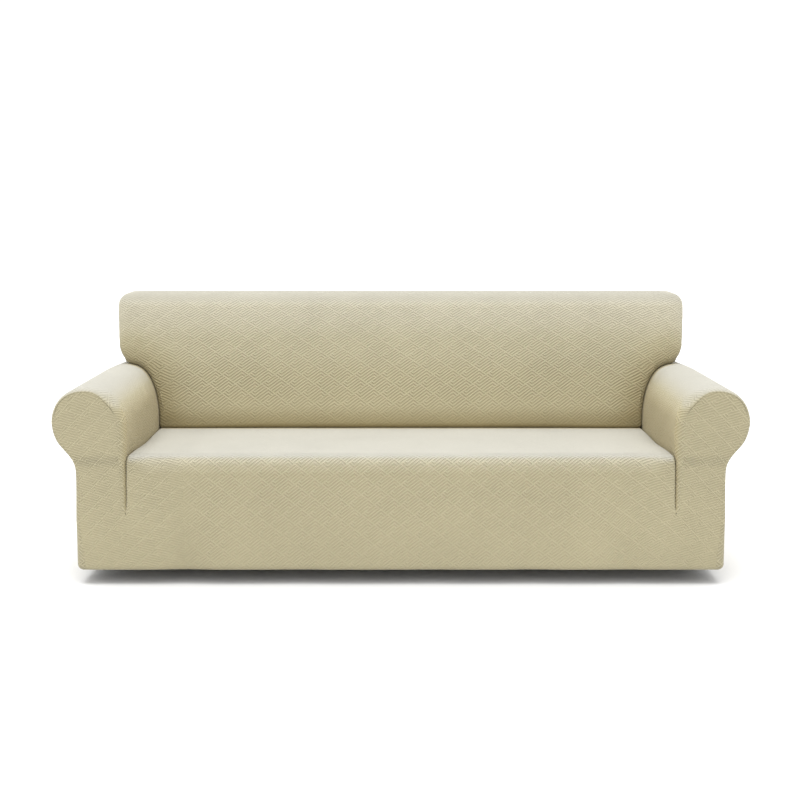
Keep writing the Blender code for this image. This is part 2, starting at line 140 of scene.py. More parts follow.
# a rounded edge from its bend at the seam, start, to full; both are turns from the face to the side
Rim = namedtuple("Rim", "x z nx nz radius inset full run start", defaults=(0.0, QUARTER, 0.0, 0.0))
Knot = namedtuple("Knot", "x y z s t")


def blend(a, b, t):
    return a + (b - a) * t


def smooth(t):
    t = min(1.0, max(0.0, t))
    return t * t * (3 - 2 * t)


def spread(a, b, steps):
    return [blend(a, b, i / steps) for i in range(steps + 1)]


def share_of(stretch, at):
    """How far a place has gone along a stretch, eased from 0 to 1."""
    start, end = stretch
    return smooth((at - start) / (end - start))


def between(table, at):
    """The value at a place in a table of places and values, eased from row to row."""
    for (a, low), (b, high) in zip(table, table[1:]):
        if at < b:
            return blend(low, high, smooth((at - a) / (b - a)))
    return table[-1][1]


# --- rims ---


def face_edge(rim):
    """(x, z) where the rounded rim leaves the flat face."""
    side = rim.inset + (rim.radius - rim.inset) * (math.sin(rim.full) - math.sin(rim.start))
    return rim.x - rim.nx * side, rim.z - rim.nz * side


def on_rim(rim, turn):
    """(x, z, depth) at a turn, 0 where the cloth leaves the face, a right angle on the side."""
    reach = rim.radius - rim.inset
    side = rim.inset + reach * (math.sin(rim.full) - math.sin(turn))
    depth = rim.inset + reach * (math.cos(rim.start) - math.cos(turn))
    return (rim.x - rim.nx * side, rim.z - rim.nz * side, depth)


def on_face(rim, beyond):
    """(x, z, depth) of a point of the face, so far beyond the end of its rounded rim."""
    x, z = face_edge(rim)
    share = rim.full / QUARTER
    return (x - rim.nx * beyond * share, z - rim.nz * beyond * share, rim.inset)


def rear_radius(z):
    return blend(HEM_CORNER, WALL_CORNER, share_of((HEM_Z, CORNER_SOFT_Z), z))


def front_radius(z):
    return blend(rear_radius(z), ROLL_CORNER, share_of((CORNER_SOFT_Z, CORNER_TIGHT_Z), z))


def inner_front_radius(z):
    """The arm's inner front edge: as soft as the roll's at its top, tighter down to the slit."""
    return blend(WALL_CORNER, INNER_CORNER, share_of((TUCK_FRONT_Z, ROLL_Z), z))


def at_rear(rims):
    return [rim._replace(radius=rear_radius(rim.z), start=0.0) for rim in rims]


def arc(x, z, radius, start, end, steps, rim_radius):
    """Rims along an arc whose normals point away from its middle, without the first."""
    rims = []
    for angle in spread(start, end, steps)[1:]:
        nx, nz = math.cos(angle), math.sin(angle)
        rims.append(Rim(x + radius * nx, z + radius * nz, nx, nz, rim_radius))
    return rims


def measured(rims):
    """The rims with their runs, how far along the outline each lies; the first keeps its own."""
    runs = [rims[0].run]
    for a, b in zip(rims, rims[1:]):
        step = math.hypot(b.x - b.inset * b.nx - a.x + a.inset * a.nx, b.z - a.z)
        runs.append(runs[-1] + step)
    return [rim._replace(run=run) for rim, run in zip(rims, runs)]


# --- the arm's outline ---


def base_rims():
    """The outer wall from the hem's lip, round the hem's curl and up to the slit's foot."""
    places = [(HEM_Z, HEM_CURL + HEM_LIP), (HEM_Z, HEM_CURL + HEM_LIP / 2)]
    for turn in spread(QUARTER, 0, HEM_STEPS):
        places.append((HEM_Z + HEM_CURL * (1 - math.sin(turn)), HEM_CURL * (1 - math.cos(turn))))
    for z in spread(HEM_Z + HEM_CURL, SLIT_FOOT_Z, SKIRT_STEPS)[1:-1]:
        places.append((z, 0.0))
    return [Rim(BASE_HALF, z, 1.0, 0.0, front_radius(z), inset) for z, inset in places]


def roll_rim(angle, grow=0.0):
    """The roll at an angle that runs from its outer side over its top to its inner side."""
    nx, nz = math.cos(angle) / ROLL_A, math.sin(angle) / ROLL_B
    length = math.hypot(nx, nz)
    nx, nz = nx / length, nz / length
    x = ROLL_X + ROLL_A * math.cos(angle) + grow * nx
    z = ROLL_Z + ROLL_B * math.sin(angle) + grow * nz
    if angle < 0:
        return Rim(x, z, nx, nz, front_radius(z))
    bend = math.radians(between(ROLL_FRONT_BEND, math.degrees(angle)))
    radius = between(ROLL_FRONT_IN, math.degrees(angle)) / (1 - math.sin(bend))
    return Rim(x, z, nx, nz, radius, start=bend)


def neck_rims():
    """The hollow curve from the upright outer wall out to the roll, without its last point."""
    end = roll_rim(ROLL_START)
    xs = (BASE_HALF, BASE_HALF, end.x - NECK_PULL * -end.nz, end.x)
    zs = (NECK_Z, NECK_Z + NECK_PULL, end.z - NECK_PULL * end.nx, end.z)
    rims = []
    for t in spread(0, 1, NECK_STEPS)[:-1]:
        weights = ((1 - t) ** 3, 3 * t * (1 - t) ** 2, 3 * t * t * (1 - t), t**3)
        slopes = (-((1 - t) ** 2), (1 - t) * (1 - 3 * t), t * (2 - 3 * t), t * t)
        x, z = (sum(w * v for w, v in zip(weights, values)) for values in (xs, zs))
        dx, dz = (sum(s * v for s, v in zip(slopes, values)) for values in (xs, zs))
        length = math.hypot(dx, dz)
        rims.append(Rim(x, z, dz / length, -dx / length, front_radius(z)))
    return rims


SLIT_ROWS_Z = spread(SLIT_FOOT_Z, TUCK_FRONT_Z, SLIT_STEPS)
RISER_ROWS_Z = spread(TUCK_FRONT_Z, NECK_Z, RISER_STEPS)[1:-1]


def outer_rims():
    """The arm's outer side from the slit's foot up to below the roll's widest point."""
    upright = [Rim(BASE_HALF, z, 1.0, 0.0, front_radius(z)) for z in SLIT_ROWS_Z + RISER_ROWS_Z]
    below = [roll_rim(angle) for angle in spread(ROLL_START, 0, BELOW_ROLL_STEPS)[:-1]]
    return upright + neck_rims() + below


def roll_rims():
    return [roll_rim(angle) for angle in spread(0, math.pi, ROLL_STEPS)]


def outer_outline():
    """All the arm's outline from the hem's lip to the roll's inner side, with its runs."""
    whole = measured(base_rims() + outer_rims() + roll_rims())
    shift = HEM_Z + HEM_CURL - whole[HEM_STEPS + 2].run
    return [rim._replace(run=rim.run + shift) for rim in whole]


def inner_wall_x(down):
    return blend(ROLL_X - ROLL_A, SEAT_HALF + GAP / 2, min(1.0, down))


def slit_turn(z):
    return QUARTER * share_of((SLIT_FOOT_Z, TUCK_FRONT_Z), z)


def inner_rim(z):
    """The front edge of the arm's inner side at a height."""
    full = slit_turn(z)
    x = inner_wall_x((ROLL_Z - z) / (ROLL_Z - TUCK_FRONT_Z)) if full else SEAT_HALF
    return Rim(x, z, -1.0, 0.0, inner_front_radius(z), full=full)


def tuck_foot_z(y):
    t = min(1.0, max(0.0, (y - WALL_CORNER) / (TUCK - WALL_CORNER)))
    return TUCK_FOOT_Z - (TUCK_FOOT_Z - TUCK_FRONT_Z) * (1 - t) ** 2


# --- sheets ---

KNIT_MAP = "knit"  # the cloth's own metres, s to the right and t up, and later the fret's repeats


def add_grid(mesh, rows):
    """Quads over rows of Knots; seen from outside, columns run to the right and rows upwards."""
    places = mesh.loops.layers.uv[KNIT_MAP]
    made = [[mesh.verts.new(knot[:3]) for knot in row] for row in rows]
    for j in range(len(rows) - 1):
        for i in range(len(rows[0]) - 1):
            corners = ((j, i), (j, i + 1), (j + 1, i + 1), (j + 1, i))
            face = mesh.faces.new([made[a][b] for a, b in corners])
            for loop, (a, b) in zip(face.loops, corners):
                loop[places].uv = rows[a][b][3:]


def new_sheet():
    mesh = bmesh.new()
    mesh.loops.layers.uv.new(KNIT_MAP)
    return mesh


def weld(mesh):
    bmesh.ops.remove_doubles(mesh, verts=mesh.verts, dist=WELD)


def mirror(mesh, verts, faces):
    bmesh.ops.scale(mesh, vec=(-1, 1, 1), verts=verts)
    bmesh.ops.reverse_faces(mesh, faces=faces)


def add_left_half(mesh):
    """Completes a right half; the knit runs on across the middle."""
    places = mesh.loops.layers.uv[KNIT_MAP]
    copied = bmesh.ops.duplicate(mesh, geom=mesh.verts[:] + mesh.edges[:] + mesh.faces[:])["geom"]
    verts = [item for item in copied if isinstance(item, bmesh.types.BMVert)]
    faces = [item for item in copied if isinstance(item, bmesh.types.BMFace)]
    mirror(mesh, verts, faces)
    for face in faces:
        for loop in face.loops:
            loop[places].uv.x *= -1
    weld(mesh)


# --- front panel ---


def deck_crown(x, y):
    along = (y - NOSE) / (CREASE_Y - NOSE)
    if not 0 < along < 1:
        return 0.0
    return DECK_CROWN * math.sin(math.pi * along) * (1 - (x / SEAT_HALF) ** 4)


def seat_profile():
    """(y, z, ny, nz, t) up the riser, over the nose and back along the deck into the tuck."""
    points = [(0.0, z, -1.0, 0.0, z) for z in SLIT_ROWS_Z + RISER_ROWS_Z]
    for turn in spread(0, QUARTER, NOSE_STEPS):
        ny, nz = -math.cos(turn), math.sin(turn)
        z = NOSE_TOP_Z - NOSE + NOSE * nz
        points.append((NOSE + NOSE * ny, z, ny, nz, NOSE_TOP_Z - NOSE + NOSE * turn))
    start = points[-1][-1] - NOSE
    deck = spread(NOSE, CREASE_Y, DECK_STEPS)[1:]
    for y in deck + spread(CREASE_Y, CREASE_Y + TUCK, DECK_TUCK_STEPS)[1:]:
        along = min(1.0, (y - NOSE) / (CREASE_Y - NOSE))
        points.append((y, blend(NOSE_TOP_Z, CREASE_Z, along), 0.0, 1.0, start + y))
    return points


def seat_row(y, z, ny, nz, t):
    """One row from the middle of the seat over its long edge, to where the side's tuck begins."""
    full = slit_turn(z)
    edge = Rim(SEAT_HALF - GAP / 2 if full else SEAT_HALF, z, 1.0, 0.0, SEAT_EDGE, full=full)
    flat = on_rim(edge, 0)[0]
    row = [Knot(x, y, z + deck_crown(x, y), x, t) for x in spread(0, flat, SEAT_COLUMNS)]
    for turn in spread(0, full, RIM_STEPS)[1:]:
        x, _, depth = on_rim(edge, turn)
        row.append(Knot(x, y - ny * depth, z - nz * depth, flat + SEAT_EDGE * turn, t))
    return row


def tuck_foot(end, position):
    """Where a seat row ends in the side's tuck, from 0 at its front foot to 1 on top of the nose."""
    if position < 0:
        return end
    y = blend(WALL_CORNER, NOSE + SEAT_EDGE, position) if position <= 1 else end.y
    z = tuck_foot_z(y)
    return Knot(end.x, y, z, end.s + math.hypot(end.y - y, end.z - z), end.t)


def seat_rows():
    profile = seat_profile()
    first = SLIT_STEPS
    top = SLIT_STEPS + RISER_STEPS + NOSE_STEPS
    rows = []
    for i, point in enumerate(profile):
        row = seat_row(*point)
        foot = tuck_foot(row[-1], (i - first) / (top - first))
        into_tuck = [Knot(*(blend(a, b, t) for a, b in zip(row[-1], foot))) for t in TUCK_SHARES]
        rows.append(row + into_tuck)
    return rows


FRONT_SHARES = [0, SEAM_SHARE] + spread(0, 1, FRONT_COLUMNS)[1:-1] + [1 - SEAM_SHARE, 1]


def skirt_row(rim):
    """One row below the slits, from the middle to the seam at the outer corner."""
    end = on_face(rim, SEAM_IN + GAP / 2)[0]
    xs = spread(0, SEAT_HALF, SEAT_COLUMNS) + [blend(SEAT_HALF, end, t) for t in FRONT_SHARES[1:]]
    return [Knot(x, rim.inset, rim.z, x, rim.run) for x in xs]


def arm_front_row(inner, outer):
    """One row across an arm's front, between the seams along its two sides."""
    x0, z0, y0 = on_face(inner, SEAM_IN + GAP / 2)
    x1, z1, y1 = on_face(outer, SEAM_IN + GAP / 2)
    row = []
    for t in FRONT_SHARES:
        x, z = blend(x0, x1, t), blend(z0, z1, t)
        row.append(Knot(x, blend(y0, y1, t), z, x, z))
    return row


def front_panel():
    mesh = new_sheet()
    outline = outer_outline()
    foot = len(base_rims())
    half = foot + len(outer_rims()) + ROLL_STEPS // 2
    outer_side = outline[foot : half + 1]
    inner_side = [inner_rim(rim.z) for rim in outer_rims()] + outline[: half - 1 : -1]
    add_grid(mesh, seat_rows())
    add_grid(mesh, [skirt_row(rim) for rim in outline[: foot + 1]])
    add_grid(mesh, [arm_front_row(*pair) for pair in zip(inner_side, outer_side)])
    add_left_half(mesh)
    return mesh


# --- arm panels ---


def back_face_y(z):
    t = (z - CREASE_Z) / (TOP_Z - CREASE_Z)
    belly = BACK_BELLY * math.sin(math.pi * min(1.0, max(0.0, t)))
    return CREASE_Y + BACK_LEAN * t - belly


def tuck_end_y(z):
    return back_face_y(z) + TUCK


def turned_edge(rim):
    """(x, z, depth, unrolled depth) from the seam on the face round the rim to the side."""
    reach = rim.radius - rim.inset
    seam = SEAM_IN - GAP / 2
    flat = rim.radius - reach * (rim.full - rim.start)
    places = [(*on_face(rim, beyond), flat - beyond) for beyond in (seam, seam / 2)]
    for turn in spread(min(rim.start, rim.full), rim.full, RIM_STEPS):
        places.append((*on_rim(rim, turn), rim.radius - reach * (rim.full - turn)))
    return places


def arm_front_edge(rim):
    return [Knot(x, depth, z, flat, rim.run) for x, z, depth, flat in turned_edge(rim)]


def arm_rear_edge(rim):
    places = reversed(turned_edge(rim))
    return [Knot(x, DEPTH - depth, z, DEPTH - flat, rim.run) for x, z, depth, flat in places]


def arm_row(rim, end):
    """One row of the outer side or the roll, from the front seam back to a depth."""
    x, z, start = on_rim(rim, rim.full)
    depths = spread(start, end, ARM_STEPS)[1:]
    return arm_front_edge(rim) + [Knot(x, y, z, y, rim.run) for y in depths]


def inner_wall_row(z, run):
    """One row of the inner side: at this height in front, and level with the tuck's foot inside."""
    rim = inner_rim(z)._replace(run=run)
    down = (ROLL_Z - z) / (ROLL_Z - TUCK_FRONT_Z)
    end = tuck_end_y(blend(ROLL_Z, TUCK_FOOT_Z, down))
    row = arm_front_edge(rim)
    for t in spread(0, 1, ARM_STEPS)[1:]:
        y = blend(rim.radius, end, t)
        here = blend(ROLL_Z, tuck_foot_z(y), down)
        row.append(Knot(rim.x, y, here, y, run + z - here))
    return row


def arm_panel():
    """The right arm's panel, its rows from the outer hem over the roll down to the inner tuck."""
    mesh = new_sheet()
    outline = outer_outline()
    roll_foot = len(outline) - ROLL_STEPS - 1
    to_rear = outline[: roll_foot + ROLL_TO_REAR + 1]
    rows = [arm_row(rim, DEPTH - rear_radius(rim.z)) for rim in to_rear]
    under_ear = outline[roll_foot + ROLL_TO_REAR + 1 :]
    for i, rim in enumerate(under_ear, 1):
        into_tuck = smooth(2 * i / len(under_ear))
        rows.append(arm_row(rim, blend(DEPTH - WALL_CORNER, tuck_end_y(rim.z), into_tuck)))
    end = outline[-1]
    inner_heights = [rim.z for rim in reversed(outer_rims()) if rim.z >= TUCK_FRONT_Z]
    for z in inner_heights:
        rows.append(inner_wall_row(z, end.run + end.z - z))
    add_grid(mesh, rows)
    add_grid(mesh, [arm_rear_edge(rim) for rim in at_rear(to_rear)])
    tail = spread(TUCK_FRONT_Z, SLIT_FOOT_Z, TAIL_STEPS + 1)[:-1]
    add_grid(mesh, [arm_front_edge(inner_rim(z)._replace(run=end.run + end.z - z)) for z in tail])
    weld(mesh)
    return mesh


def left_arm_panel():
    mesh = arm_panel()
    mirror(mesh, mesh.verts[:], mesh.faces[:])
    return mesh


# --- back panel ---


def ear_contact(foot):
    """Roll angle at which the ear's lower corner, of radius foot, touches the roll."""
    low, high = QUARTER / 2, 2 * QUARTER
    for _ in range(HALVINGS):
        angle = (low + high) / 2
        if roll_rim(angle, TUCK_CLEAR + foot).x > EAR_HALF - foot:
            low = angle
        else:
            high = angle
    return low


def back_outline(foot):
    """Half the outline: out along the crease, up the arm, over the roll, round the ear, and in."""
    corner_z = CREASE_Z + GAP + CREASE_CORNER
    down = (ROLL_Z - corner_z) / (ROLL_Z - TUCK_FOOT_Z)
    corner_x = inner_wall_x(down) - TUCK_CLEAR - CREASE_CORNER
    rims = []
    for t in spread(0, 1, CREASE_STEPS):
        radius = blend(CREASE_RIM, CREASE_CORNER, smooth(2 * t - 1))
        rims.append(Rim(t * corner_x, CREASE_Z + GAP, 0.0, -1.0, radius))
    rims += arc(corner_x, corner_z, CREASE_CORNER, -QUARTER, 0, INNER_CORNER_STEPS, CREASE_CORNER)
    for t in spread(0, 1, WALL_STEPS)[1:]:
        x = inner_wall_x(down * (1 - t)) - TUCK_CLEAR
        rims.append(Rim(x, blend(corner_z, ROLL_Z, t), 1.0, 0.0, blend(CREASE_CORNER, WALL_RIM, t)))
    contact = ear_contact(foot)
    for t in spread(0, 1, BACK_ROLL_STEPS)[1:]:
        roll = roll_rim(blend(math.pi, contact, t), TUCK_CLEAR)
        radius = blend(WALL_RIM, EAR_RIM, smooth(t))
        rims.append(roll._replace(nx=-roll.nx, nz=-roll.nz, radius=radius, start=0.0))
    touching = rims[-1]
    ear_x, ear_z = touching.x - foot * touching.nx, touching.z - foot * touching.nz
    start = math.atan2(touching.nz, touching.nx)
    rims += arc(ear_x, ear_z, foot, start, 0, EAR_STEPS, EAR_RIM)
    for t in spread(0, 1, SIDE_STEPS)[1:]:
        z = blend(ear_z, TOP_Z - TOP_CORNER, t)
        rims.append(Rim(EAR_HALF, z, 1.0, 0.0, blend(EAR_RIM, TOP_CORNER, t)))
    top_x, top_z = EAR_HALF - TOP_CORNER, TOP_Z - TOP_CORNER
    rims += arc(top_x, top_z, TOP_CORNER, 0, QUARTER, TOP_CORNER_STEPS, TOP_CORNER)
    shoulder_steps = INNER_CORNER_STEPS + WALL_STEPS + BACK_ROLL_STEPS
    xs = spread(top_x, TOP_SHOULDER_X, shoulder_steps) + spread(TOP_SHOULDER_X, 0, CREASE_STEPS)[1:]
    return rims + [Rim(x, TOP_Z, 0.0, 1.0, TOP_CORNER) for x in xs[1:]]


# the outline's points up to the one where the ear touches the roll
TOUCHING = CREASE_STEPS + INNER_CORNER_STEPS + WALL_STEPS + BACK_ROLL_STEPS


def ear_foot_rear():
    roll = roll_rims()[ROLL_TO_REAR]
    return (EAR_HALF - roll.x - TUCK_CLEAR * roll.nx) / (1 + roll.nx)


OUTLINES = [back_outline(foot) for foot in spread(EAR_FOOT, ear_foot_rear(), FOOT_STEPS)]


def outline_place(index, y):
    """(x, z) of an outline point at a depth, as the ear's lower corner tightens towards the rear."""
    at = FOOT_STEPS * share_of(EAR_TIGHTENS_Y, y)
    low = min(int(at), FOOT_STEPS - 1)
    a, b = OUTLINES[low][index], OUTLINES[low + 1][index]
    return blend(a.x, b.x, at - low), blend(a.z, b.z, at - low)


def back_rim_row(index, rim, stop):
    """The face's rounded edge at one outline point, and the cloth from there back to a depth."""
    row = []
    x0, z0 = face_edge(rim)
    for turn in spread(0, QUARTER, BACK_RIM_STEPS):
        x, z, depth = on_rim(rim, turn)
        out = rim.radius * turn
        row.append(Knot(x, back_face_y(z) + depth, z, x0 + rim.nx * out, z0 + rim.nz * out))
    start = row[-1]
    for y in spread(start.y, stop, BAND_STEPS)[1:]:
        x, z = outline_place(index, y)
        out = y - start.y
        row.append(Knot(x, y, z, start.s + rim.nx * out, start.t + rim.nz * out))
    return row


def back_stop(index, rim, rear):
    """Depth at which the cloth ends in the tuck, or turns into the rear."""
    if index >= TOUCHING:
        return DEPTH - rear.radius
    along_roll = (index - TOUCHING) / BACK_ROLL_STEPS + 1
    return blend(tuck_end_y(rim.z), DEPTH - WALL_CORNER, smooth(2 * along_roll - 1))


def rear_outline():
    """The outline where it meets the rear, its edges tighter than in front."""
    rims = []
    for rim in OUTLINES[-1]:
        radius = min(rim.radius, REAR_FOOT_RIM) if rim.nz < 0 else rim.radius
        rims.append(rim._replace(radius=radius - REAR_TIGHTER))
    return rims


def face_rows(front):
    """The flat of the face, its upright lines between the outline's lower and upper half."""
    ear = [face_edge(rim) for rim in front[TOUCHING : TOUCHING + EAR_STEPS + SIDE_STEPS + 1]]
    runs = [0.0]
    for a, b in zip(ear, ear[1:]):
        runs.append(runs[-1] + math.dist(a, b))
    shares = [run / runs[-1] for run in runs]
    lines = []
    for low, high in zip(front[:TOUCHING], reversed(front[-TOUCHING:])):
        (x0, z0), (x1, z1) = face_edge(low), face_edge(high)
        lines.append([(blend(x0, x1, t), blend(z0, z1, t)) for t in shares])
    return [[Knot(x, back_face_y(z), z, x, z) for x, z in row] for row in zip(*lines, ear)]


def rear_edge_from(row_end, rim):
    """The rounded rear edge at one outline point; the knit runs on from where its row ended."""
    row = []
    for x, z, depth, flat in reversed(turned_edge(rim)):
        out = rim.radius - flat
        row.append(Knot(x, DEPTH - depth, z, row_end.s + rim.nx * out, row_end.t + rim.nz * out))
    return row


def back_panel():
    mesh = new_sheet()
    front, rear = OUTLINES[0], rear_outline()
    rows = []
    for i, (rim, behind) in enumerate(zip(front, rear)):
        rows.append(back_rim_row(i, rim, back_stop(i, rim, behind)))
    add_grid(mesh, face_rows(front))
    add_grid(mesh, rows)
    pairs = zip(rows[TOUCHING:], rear[TOUCHING:])
    add_grid(mesh, [rear_edge_from(row[-1], rim) for row, rim in pairs])
    add_left_half(mesh)
    return mesh


# --- outside back ---


def outside_back():
    """The flat rear, inside the seams with the two arms and the back."""
    outline = outer_outline()
    arm = at_rear(outline[: len(outline) - ROLL_STEPS + ROLL_TO_REAR])
    rear = rear_outline()
    above_arm = TOUCHING + EAR_STEPS
    top_corner = above_arm + SIDE_STEPS
    ear = rear[TOUCHING : TOUCHING + 1] + rear[above_arm : top_corner + 1]
    top = rear[top_corner + TOP_CORNER_STEPS]
    meeting = (arm[-1], ear[0])
    rows = []
    for rim in arm + ear + [top]:
        x, z, depth = on_face(rim, SEAM_IN + GAP / 2)
        if rim in meeting:
            x -= CORNER_CLEAR
        run = rim.run if rim.z < HEM_Z + HEM_CURL else z
        columns = spread(x, 0, OUTSIDE_COLUMNS)
        rows.append([Knot(across, DEPTH - depth, z, -across, run) for across in columns])
    mesh = new_sheet()
    add_grid(mesh, rows)
    add_left_half(mesh)
    return mesh


# --- how the cloth settles ---

# Small moves of the whole cover from the plain folds of its solids.  They are worked out on the
# right side and mirrored, and they move every panel alike, so seams stay shut and panels stay clear.
# Tables give a move or a share by height, and a pair is the stretch over which something comes or
# goes.

WALL_FLARE = ((0.05, 0.0040), (0.20, 0.0), (0.36, -0.0048), (0.47, 0.0))  # height, outwards
WALL_FLARE_X = (0.95, 1.03)
ROLL_NEAR, ROLL_FAR = (0.3, 0.9), (1.1, 1.9)  # from the roll's middle, in its own radii
SWELL, SWELL_TURN, SWELL_REACH = 0.0090, math.radians(60), math.radians(78)
SWELL_FADE_Y = (0.54, 0.86)
REAR_DENT, REAR_DENT_TURN, REAR_DENT_REACH = 0.0105, math.radians(160), math.radians(50)
REAR_DENT_Y = (0.40, 0.56)
EAR_TAKEN_IN = (  # height, inwards
    (0.634, 0.0),
    (0.655, 0.0155),
    (0.680, 0.0172),
    (0.710, 0.0142),
    (0.740, 0.0112),
    (0.780, 0.0085),
    (0.805, 0.0058),
    (0.840, 0.0042),
    (0.887, 0.0024),
)
EAR_TAKEN_IN_X = (0.93, 1.02)
EAR_REAR_LESS, EAR_REAR_Y = 0.8, (0.70, 0.85)
SLIT_OUT, SLIT_BAND = ((0.22, 0.0130), (0.32, 0.0095), (0.38, 0.0074)), 0.080  # height, outwards
SLIT_FADE_Z = (0.38, 0.50)
SLIT_KEEPS, SLIT_REAR_Y = (0.30, 0.90), (0.10, 0.50)  # what is left above, in front and behind
CREASE_SUNK, CREASE_SUNK_Y = 0.0018, (0.20, 0.56)
CREASE_SUNK_FROM_Z, CREASE_SUNK_TO_Z = (0.26, 0.36), (0.42, 0.54)
NOSE_PROUD, NOSE_MIDDLE_Z, NOSE_REACH = 0.0030, 0.405, 0.026
DECK_DIP, DECK_DIP_BAND, DECK_DIP_Y = 0.0070, 0.032, (0.08, 0.52)


def bump(t):
    """1 at 0 and nothing from -1 and 1 outwards."""
    return math.cos(QUARTER * min(1.0, abs(t))) ** 2


def settle_roll(x, y, z):
    """The roll swells behind its front, and gives way inside where the back leans on it."""
    dx, dz = (x - ROLL_X) / ROLL_A, (z - ROLL_Z) / ROLL_B
    reach = math.hypot(dx, dz)
    near = share_of(ROLL_NEAR, reach) * (1 - share_of(ROLL_FAR, reach))
    if not near:
        return 0.0, 0.0
    turn = math.atan2(dz, dx)
    if turn < -QUARTER:
        turn += 4 * QUARTER
    out = SWELL * bump((turn - SWELL_TURN) / SWELL_REACH) * (1 - share_of(SWELL_FADE_Y, y))
    out -= REAR_DENT * bump((turn - REAR_DENT_TURN) / REAR_DENT_REACH) * share_of(REAR_DENT_Y, y)
    return out * near * math.cos(turn), out * near * math.sin(turn)


def settle(x, y, z):
    """(outwards, upwards) moves of a place on the right side."""
    out, up = settle_roll(x, y, z)
    if z < WALL_FLARE[-1][0]:
        out += between(WALL_FLARE, z) * share_of(WALL_FLARE_X, x)
    if z > EAR_TAKEN_IN[0][0]:
        less = 1 - EAR_REAR_LESS * share_of(EAR_REAR_Y, y)
        out -= between(EAR_TAKEN_IN, z) * share_of(EAR_TAKEN_IN_X, x) * less
    if z < ROLL_Z + ROLL_B:
        keeps = blend(*SLIT_KEEPS, share_of(SLIT_REAR_Y, y))
        share = blend(1.0, keeps, share_of(SLIT_FADE_Z, z))
        out += between(SLIT_OUT, z) * share * math.exp(-(((x - SEAT_HALF) / SLIT_BAND) ** 2))
    at_height = share_of(CREASE_SUNK_FROM_Z, z) * (1 - share_of(CREASE_SUNK_TO_Z, z))
    return out, up - CREASE_SUNK * share_of(CREASE_SUNK_Y, y) * at_height


def settle_cover(mesh):
    for vert in mesh.verts:
        x, y, z = vert.co
        out, up = settle(abs(x), y, z)
        vert.co = (x + out * math.copysign(1.0, x), y, z + up)


def settle_seat(mesh):
    """The seat's nose stands a little proud of the skirt, and its deck sinks beside the arms."""
    for vert in mesh.verts:
        x, y, z = vert.co
        if y < NOSE and abs(x) < SEAT_HALF:
            inside = smooth((SEAT_HALF - abs(x)) / SLIT_BAND)
            proud = NOSE_PROUD * inside * bump((z - NOSE_MIDDLE_Z) / NOSE_REACH)
            vert.co.y -= proud * (1 - y / NOSE)
        elif y >= NOSE and z > TUCK_FOOT_Z + NOSE:
            start, end = DECK_DIP_Y
            along = bump((2 * y - start - end) / (end - start))
            beside = math.exp(-(((SEAT_HALF - abs(x)) / DECK_DIP_BAND) ** 2))
            vert.co.z -= DECK_DIP * along * beside


# --- folds of the skirt ---

Fold = namedtuple("Fold", "x half_width depth top_z")
SKIRT_FOLDS = (
    Fold(x=-0.690, half_width=0.110, depth=0.0060, top_z=0.40),
    Fold(x=-0.330, half_width=0.120, depth=0.0030, top_z=0.26),
    Fold(x=0.090, half_width=0.140, depth=0.0025, top_z=0.22),
    Fold(x=0.420, half_width=0.110, depth=0.0035, top_z=0.28),
    Fold(x=0.720, half_width=0.090, depth=0.0030, top_z=0.34),
)


def fold_in(x, z):
    """How far the soft folds draw the skirt in at a place."""
    drawn = 0.0
    for fold in SKIRT_FOLDS:
        across = (x - fold.x) / fold.half_width
        drawn += fold.depth * smooth((fold.top_z - z) / (fold.top_z - HEM_Z)) * bump(across)
    return drawn


def draw_skirt_in(mesh):
    for vert in mesh.verts:
        vert.co.y += fold_in(vert.co.x, vert.co.z)


# --- how the knit lies ---

# wide and high are the size of one repeat, from corner to corner of the lattice.  Towards both arms,
# over the stretch from from_s to to_s, they become side_wide and side_high, and the knit is pulled
# askew by skew degrees about a middle place.  On the left of turned_at it runs the other way round.
# The shift moves the whole lattice, in repeats, and closer is the rate at which the repeat grows
# shorter above CLOSER_FROM.
OFF_CLOTH = 9.0  # farther along than any cloth reaches
Lay = namedtuple(
    "Lay",
    "wide high side_wide side_high skew turned_at middle_s middle_t "
    "from_s to_s shift_s shift_t closer",
    defaults=(0.0, 0.0, 0.0, -OFF_CLOTH, 0.0, 0.0, OFF_CLOTH, 2 * OFF_CLOTH, 0.0, 0.0, 0.0),
)
FRONT_LAY = Lay(
    wide=0.084,
    high=0.066,
    side_wide=0.094,
    side_high=0.054,
    skew=14,
    turned_at=-0.690,
    middle_s=0.800,
    middle_t=0.300,
    from_s=0.62,
    to_s=0.90,
)
BACK_LAY = Lay(
    wide=0.095,
    high=0.071,
    side_wide=0.099,
    side_high=0.069,
    skew=6,
    turned_at=-0.817,
    middle_s=0.850,
    middle_t=0.600,
    from_s=0.60,
    to_s=1.00,
    shift_s=-0.23,
    shift_t=0.51,
    closer=1.0,
)
ARM_LAY = Lay(wide=0.090, high=0.068)
REAR_LAY = Lay(wide=0.095, high=0.072)
CLOSER_FROM = 0.53


def lay_place(lay, s, t, turned):
    """The place in the fret's own repeats, one unit wide and high, of a place in the cloth."""
    s = -s if turned else s
    share = 1.0 if turned else share_of((lay.from_s, lay.to_s), s)
    angle = -math.radians(lay.skew) * share
    ds, dt = s - lay.middle_s, t - lay.middle_t
    across = ds * math.cos(angle) + dt * math.sin(angle)
    up = dt * math.cos(angle) - ds * math.sin(angle)
    wide, high = blend(lay.wide, lay.side_wide, share), blend(lay.high, lay.side_high, share)
    s, t = lay.middle_s / lay.wide + across / wide, lay.middle_t / lay.high + up / high
    return s + lay.shift_s, t + lay.shift_t


